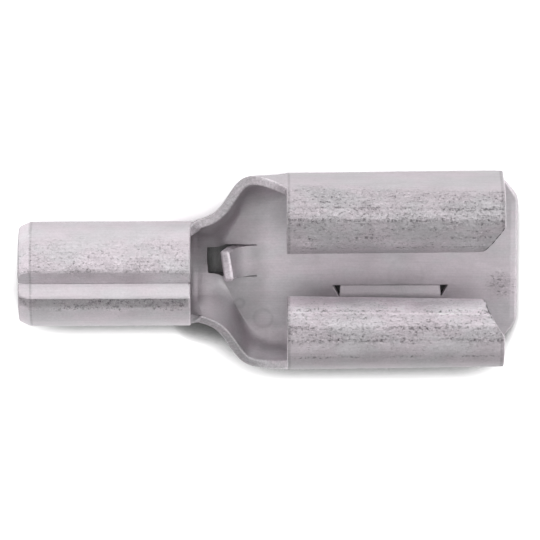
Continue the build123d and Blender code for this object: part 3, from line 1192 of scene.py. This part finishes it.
    def colour(self):
        """The tin's colour, a little cooler in places, times its tone."""
        tint = self.node("Mix", data_type="VECTOR")
        cool = self.noise(0.55, 0.9, 17.0, roughness=0.65)
        self.put(self.range(cool, 0.42, 0.60), tint.inputs["Factor"])
        tint.inputs[4].default_value = TIN
        tint.inputs[5].default_value = TIN_COOL
        made = self.node("VectorMath", operation="SCALE")
        self.put(tint.outputs[1], made.inputs[0])
        self.put(self.tone(), made.inputs["Scale"])
        return made.outputs[0]

    def roughness(self):
        rough = self.range(self.blotch, 0.3, 0.7, 0.50, 0.60)
        rough = self.plus(rough, self.times(self.rub, 0.08))
        return self.plus(rough, self.times(self.marks["mark"], 0.10))

    def height(self):
        """The relief of scuffs, scratches, tool marks, streaks and grain."""
        relief = [
            (self.marks["score"], -0.4),
            (self.marks["rows"], -1.4),
            (self.times(self.rub, self.grain), 2.4),
            (self.streak, 0.14),
            (self.grain, 0.20),
        ]
        height = self.times(self.marks["mark"], -1.1)
        for value, share in relief:
            height = self.plus(height, self.times(value, share))
        return height


def make_tin():
    """Dull tin plate over brass."""
    material = make_material("tin_plate_metal")
    tin = Tin(material.node_tree)
    shader = tin.node("BsdfPrincipled", in_Metallic=1.0)
    bump = tin.node("Bump", in_Strength=1.0, in_Distance=BUMP_HEIGHT * MM)
    tin.put(tin.colour(), shader.inputs["Base Color"])
    tin.put(tin.roughness(), shader.inputs["Roughness"])
    tin.put(tin.height(), bump.inputs["Height"])
    tin.put(bump.outputs[0], shader.inputs["Normal"])
    tin.put(shader.outputs[0], tin.node("OutputMaterial").inputs[0])
    return material


def openness(field):
    """How open a place is towards the +Y side, that the light is on."""
    facing = field.node("VectorMath", operation="ADD")
    facing.inputs[1].default_value = (0, SHADE_LEAN, 0)
    field.put(field.node("NewGeometry").outputs["Normal"], facing.inputs[0])
    aimed = field.node("VectorMath", operation="NORMALIZE")
    field.put(facing.outputs[0], aimed.inputs[0])
    close = field.node("AmbientOcclusion", samples=16, in_Distance=CONTACT * MM)
    field.put(aimed.outputs[0], close.inputs["Normal"])
    return close.outputs["AO"]


def make_white():
    """A white that looks bright, takes the shadow and a painted shadow near the part, and lights the part as
    a plain grey does.
    """
    material = make_material("floor_white")
    field = Field(material.node_tree)
    ray = field.node("LightPath").outputs
    plain = field.node("BsdfDiffuse", in_Color=FLOOR_GREY)
    seen = field.node("BsdfDiffuse")
    mix = field.node("MixShader")
    white = field.range(ray["Is Camera Ray"], 0, 1, FLOOR_REFLECTED, FLOOR_WHITE)
    # painted shadow: the table darkens where the part closes it off towards +Y, on the part's -Y side and
    # under its holes
    shade = field.range(openness(field), 0.50, 0.90, SHADE_DARKEST, 1.0)
    field.put(field.times(white, shade), seen.inputs["Color"])
    looked_at = field.larger(ray["Is Camera Ray"], ray["Is Glossy Ray"])
    field.put(field.larger(looked_at, ray["Is Transmission Ray"]), mix.inputs[0])
    field.put(plain.outputs[0], mix.inputs[1])
    field.put(seen.outputs[0], mix.inputs[2])
    field.put(mix.outputs[0], field.node("OutputMaterial").inputs[0])
    return material


def make_floor():
    """The table."""
    bpy.ops.mesh.primitive_plane_add(size=2)
    floor = bpy.context.object
    floor.name = "floor"
    floor.data.materials.append(make_white())


def area_light(name, place, width, radiance):
    """A soft square lamp of a given radiance."""
    data = bpy.data.lights.new(name, "AREA")
    data.size = width * MM
    data.energy = radiance * math.pi * (width * MM) ** 2
    lamp = bpy.data.objects.new(name, data)
    bpy.context.collection.objects.link(lamp)
    lamp.location = Vector(place) * MM
    lamp.rotation_euler = (Vector(LAMP_AIM) - Vector(place)).to_track_quat("-Z", "Y").to_euler()


def make_world():
    """Even light from all round."""
    world = bpy.data.worlds.new("studio")
    bpy.context.scene.world = world
    world.use_nodes = True
    background = world.node_tree.nodes["Background"]
    background.inputs[0].default_value = (1, 1, 1, 1)
    background.inputs[1].default_value = WORLD_LIGHT


def make_camera():
    """The photograph's view, from above."""
    back = Vector((0, sine(VIEW_TILT), cosine(VIEW_TILT)))
    right = Vector((1, 0, 0))
    up = Vector((0, cosine(VIEW_TILT), -sine(VIEW_TILT)))
    turned_right = cosine(VIEW_ROLL) * right - sine(VIEW_ROLL) * up
    turned_up = sine(VIEW_ROLL) * right + cosine(VIEW_ROLL) * up
    data = bpy.data.cameras.new("camera")
    data.sensor_width = SENSOR_WIDTH
    data.lens = FOCAL_PIXELS * SENSOR_WIDTH / PICTURE_PIXELS
    data.clip_start = 0.01
    data.clip_end = 10
    camera = bpy.data.objects.new("camera", data)
    bpy.context.collection.objects.link(camera)
    axes = Matrix((turned_right, turned_up, back)).transposed().to_4x4()
    camera.matrix_world = Matrix.Translation((Vector(VIEW_AIM) + back * VIEW_DISTANCE) * MM) @ axes
    bpy.context.scene.camera = camera


make_terminal(make_tin())
make_floor()
make_camera()
for lamp in LAMPS:
    area_light(*lamp)
make_world()
bpy.context.scene.view_settings.view_transform = "Standard"
